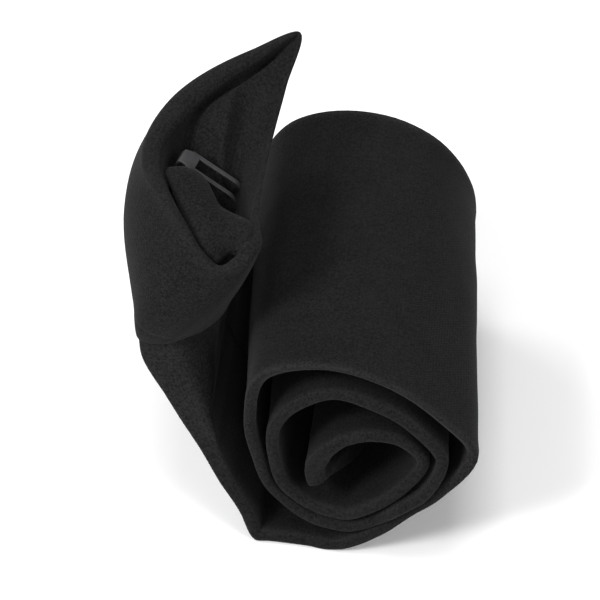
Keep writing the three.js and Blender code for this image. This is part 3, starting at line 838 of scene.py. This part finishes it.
def makeTieTuck():
    steps = tuckDetail["stepsAcross"]
    places = np.linspace(0, len(tuckRows) - 1, steps)
    nearLine = curvePoints([row["near"] for row in tuckRows], places)
    crestLine = curvePoints([row["crest"] for row in tuckRows], places)
    half = tuckDetail["half"]
    dips = 1 - ease(tuckDetail["dipEnds"] - tuckDetail["dipRun"], tuckDetail["dipEnds"], places)
    rings, wearAndHighlights = [], []
    for near, crest, dip in zip(nearLine, crestLine, dips):
        path, spots, run = tuckPath(near, crest, dip)
        along = np.gradient(path, axis=0)
        along /= np.linalg.norm(along, axis=1)[:, None]
        across = np.cross((0, 0, 1.0), run)
        across /= np.linalg.norm(across)
        side = np.cross(along, across)
        side /= np.linalg.norm(side, axis=1)[:, None]
        turns = np.linspace(0, math.pi, tuckDetail["capPoints"] + 2)[1:-1]
        endCap = [path[-1] + half * (side[-1] * math.cos(t) + along[-1] * math.sin(t)) for t in turns]
        startCap = [path[0] - half * (side[0] * math.cos(t) + along[0] * math.sin(t)) for t in turns]
        rings.append(np.concatenate([path + half * side, endCap, (path - half * side)[::-1], startCap]))
        # wear and a painted highlight along the tuck's fold
        fromFold = (spots - tuckDetail["foldAt"]) / tuckDetail["foldWidth"]
        folded = tuckDetail["foldWearHighlight"] * np.exp(-fromFold ** 2)
        wearAndHighlights.append(np.concatenate([folded, np.zeros(len(endCap) + len(path) + len(startCap))]))
    return clothFromRings("tieTuck", rings, wearAndHighlights)


def trimBy(piece, neighbour):
    # takes the neighbour's body out of the piece, where the two run into one another
    cut = piece.modifiers.new("trim", "BOOLEAN")
    cut.operation = "DIFFERENCE"
    cut.solver = "EXACT"
    cut.object = neighbour
    graph = bpy.context.evaluated_depsgraph_get()
    trimmed = bpy.data.meshes.new_from_object(piece.evaluated_get(graph))
    piece.modifiers.clear()
    piece.data = trimmed


tieBlade = makeTieBlade()
print("blade:", len(tieBlade.data.polygons), "faces")
tieKnot = makeTieKnot()
print("knot:", len(tieKnot.data.polygons), "faces")
tieTuck = makeTieTuck()
trimBy(tieTuck, tieKnot)
print("tuck:", len(tieTuck.data.polygons), "faces")

clipDetail = {
    "base": (-19.2, 44.2, 67.0),  # where its own origin goes
    "pitch": 28.0,            # degrees that its head points down
    "swing": -15.0,           # degrees that it turns about the upright
    "plate": 0.55,            # thickness of the sheet metal
    "heelWidth": 3.9,
    "headWidth": 5.0,
    "headLength": 3.0,
    "headEnd": 0.9,           # how far the plate runs on under the tines
    "heel": ((0.7, -4.0), (0.35, -1.3), (0.55, -0.3), (1.3, 0.0)),   # its bend, in x and z
    "headSteps": 31,
    "tineLength": 11.4,
    "tineRoot": 1.2,          # extra length for the part that lies in the plate
    "tineStart": 1.0,         # how far before the head's length the tines begin
    "tineWidth": 1.05,
    "tineThinner": 0.9,       # their thickness as a share of the plate's
    "tineRound": 0.3,
    "tineSteps": 24,
    "tipDrop": 1.1,
    "tipRun": 2.2,
    "stemWidth": 3.6,
    "stemDeep": 14.0,
    "stemFoot": 0.9,          # x of the stem's lower end
    "stemBelow": -0.5,        # the plate is as narrow as the stem below this z
    "widensFrom": 0.5,        # and widens towards the tines from this x
    "sharpAngle": 0.9,        # edges that turn by more than this, in radians, are bevelled
    "edgeBevel": 0.14,
}


def tineTree():
    # one flat tine that follows a line and bends down at its tip, repeated beside itself
    tree = bpy.data.node_groups.new("clip tines", "GeometryNodeTree")
    tree.interface.new_socket("Geometry", in_out="OUTPUT", socket_type="NodeSocketGeometry")
    for name in ("Length", "Width", "Thickness", "Spacing", "Tip drop", "Tip run"):
        tree.interface.new_socket(name, in_out="INPUT", socket_type="NodeSocketFloat")
    tree.interface.new_socket("Material", in_out="INPUT", socket_type="NodeSocketMaterial")
    given = addNode(tree, "NodeGroupInput").outputs
    end = addNode(tree, "ShaderNodeCombineXYZ", {}, {"X": given["Length"]})
    line = addNode(tree, "GeometryNodeCurvePrimitiveLine", {}, {"End": end.outputs[0]})
    fine = addNode(tree, "GeometryNodeResampleCurve", {}, {
        "Curve": line.outputs[0], "Count": clipDetail["tineSteps"]})
    position = addNode(tree, "GeometryNodeInputPosition").outputs[0]
    spot = addNode(tree, "ShaderNodeSeparateXYZ", {}, {0: position})
    start = calc(tree, "SUBTRACT", given["Length"], given["Tip run"])
    past = calc(tree, "DIVIDE", calc(tree, "SUBTRACT", spot.outputs["X"], start), given["Tip run"])
    past = calc(tree, "MAXIMUM", past, 0.0)
    downwards = calc(tree, "MULTIPLY", given["Tip drop"], -1.0)
    drop = calc(tree, "MULTIPLY", calc(tree, "POWER", past, 2.0), downwards)
    shift = addNode(tree, "ShaderNodeCombineXYZ", {}, {"Z": drop})
    bent = addNode(tree, "GeometryNodeSetPosition", {}, {
        "Geometry": fine.outputs[0], "Offset": shift.outputs[0]})
    flat = addNode(tree, "GeometryNodeCurvePrimitiveQuadrilateral", {},
                   {"Width": given["Width"], "Height": given["Thickness"]})
    rounded = addNode(tree, "GeometryNodeFilletCurve", {}, {
        "Curve": flat.outputs[0],
        "Radius": calc(tree, "MULTIPLY", given["Thickness"], clipDetail["tineRound"])})
    rounded.mode = "POLY"
    rounded.inputs["Count"].default_value = 3
    tine = addNode(tree, "GeometryNodeCurveToMesh", {}, {
        "Curve": bent.outputs[0], "Profile Curve": rounded.outputs[0], "Fill Caps": True})
    spread = addNode(tree, "ShaderNodeCombineXYZ", {}, {"Y": given["Spacing"]})
    first = addNode(tree, "ShaderNodeCombineXYZ", {}, {"Y": calc(tree, "MULTIPLY", given["Spacing"], -0.5)})
    roots = addNode(tree, "GeometryNodeMeshLine", {}, {
        "Count": 2, "Start Location": first.outputs[0], "Offset": spread.outputs[0]})
    both = addNode(tree, "GeometryNodeInstanceOnPoints", {}, {
        "Points": roots.outputs[0], "Instance": tine.outputs[0]})
    real = addNode(tree, "GeometryNodeRealizeInstances", {}, {"Geometry": both.outputs[0]})
    coated = addNode(tree, "GeometryNodeSetMaterial", {}, {
        "Geometry": real.outputs[0], "Material": given["Material"]})
    output = addNode(tree, "NodeGroupOutput")
    tree.links.new(coated.outputs[0], output.inputs[0])
    return tree


def runTree(name, tree, values):
    # evaluates a node tree on an empty mesh and keeps the result as a plain mesh
    holder = bpy.data.objects.new(name, bpy.data.meshes.new(name))
    bpy.context.scene.collection.objects.link(holder)
    modifier = holder.modifiers.new("nodes", "NODES")
    modifier.node_group = tree
    for item in tree.interface.items_tree:
        if item.in_out == "INPUT" and item.name in values:
            modifier[item.identifier] = values[item.name]
    graph = bpy.context.evaluated_depsgraph_get()
    made = bpy.data.meshes.new_from_object(holder.evaluated_get(graph))
    holder.modifiers.remove(modifier)
    bpy.data.objects.remove(holder)
    return made


def clipHead():
    # the plate that carries the tines, its heel bent down, and the stem that goes into the knot
    size = clipDetail
    thick = size["plate"]
    plateEnd = size["headLength"] + size["headEnd"]
    profile = [(size["stemFoot"], -size["stemDeep"]), *size["heel"], (plateEnd, 0.0)]
    path = curvePoints(profile, np.linspace(0, len(profile) - 1, size["headSteps"]))
    along = np.gradient(path, axis=0)
    along /= np.linalg.norm(along, axis=1)[:, None]
    side = np.stack([-along[:, 1], along[:, 0]], axis=1)
    body = bmesh.new()
    rows = []
    for spot, out in zip(path, side):
        widened = float(ease(size["widensFrom"], plateEnd, spot[0]))
        width = mix(size["heelWidth"], size["headWidth"], widened) / 2
        if spot[1] < size["stemBelow"]:
            width = size["stemWidth"] / 2
        row = []
        for across, way in ((-width, 1), (width, 1), (width, -1), (-width, -1)):
            place = spot + out * way * thick / 2
            row.append(body.verts.new((place[0], across, place[1])))
        rows.append(row)
    for a, b in zip(rows, rows[1:]):
        for j in range(4):
            body.faces.new((a[j], a[(j + 1) % 4], b[(j + 1) % 4], b[j]))
    body.faces.new(rows[0][::-1])
    body.faces.new(rows[-1])
    bmesh.ops.recalc_face_normals(body, faces=body.faces)
    joints = [edge for edge in body.edges if len(edge.link_faces) == 2]
    sharp = [edge for edge in joints if edge.calc_face_angle() > size["sharpAngle"]]
    bmesh.ops.bevel(body, geom=sharp, offset=size["edgeBevel"], segments=2, affect="EDGES", profile=0.5)
    mesh = bpy.data.meshes.new("clipFork")
    body.to_mesh(mesh)
    body.free()
    return mesh


def makeClipFork():
    size = clipDetail
    tines = runTree("clipTines", tineTree(), {
        "Length": size["tineLength"] + size["tineRoot"],
        "Width": size["tineWidth"],
        "Thickness": size["plate"] * size["tineThinner"],
        "Spacing": size["headWidth"] - size["tineWidth"],
        "Tip drop": size["tipDrop"],
        "Tip run": size["tipRun"],
        "Material": clipMetal,
    })
    tines.transform(Matrix.Translation((size["headLength"] - size["tineStart"], 0, 0)))
    fork = bpy.data.objects.new("clipFork", clipHead())
    fork.data.materials.append(clipMetal)
    prongs = bpy.data.objects.new("clipTines", tines)
    for piece in (fork, prongs):
        bpy.context.scene.collection.objects.link(piece)
    union = fork.modifiers.new("join", "BOOLEAN")
    union.operation = "UNION"
    union.solver = "EXACT"
    union.object = prongs
    graph = bpy.context.evaluated_depsgraph_get()
    joined = bpy.data.meshes.new_from_object(fork.evaluated_get(graph))
    fork.modifiers.clear()
    fork.data = joined
    bpy.data.objects.remove(prongs)
    turned = (Matrix.Rotation(math.radians(size["swing"]), 4, "Z")
              @ Matrix.Rotation(math.radians(size["pitch"]), 4, "Y"))
    place = Matrix.Translation(Vector(size["base"]) + Vector(drawingOrigin))
    fork.data.transform(Matrix.Scale(mm, 4) @ place @ turned)
    fork.data.polygons.foreach_set("use_smooth", [False] * len(fork.data.polygons))
    return fork


clipFork = makeClipFork()
print("clip:", len(clipFork.data.polygons), "faces")

# Each piece goes under the root body and stands for its CAD solid, which is hidden; it got its finish when
# it was made
for piece, node, slot in ((tieBlade, "blade", "tie_cloth"), (tieKnot, "knot", "tie_cloth"),
                          (tieTuck, "knot_tuck", "tie_cloth"), (clipFork, "clip_fork", "clip_metal")):
    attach(piece, "root")
    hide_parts(node)
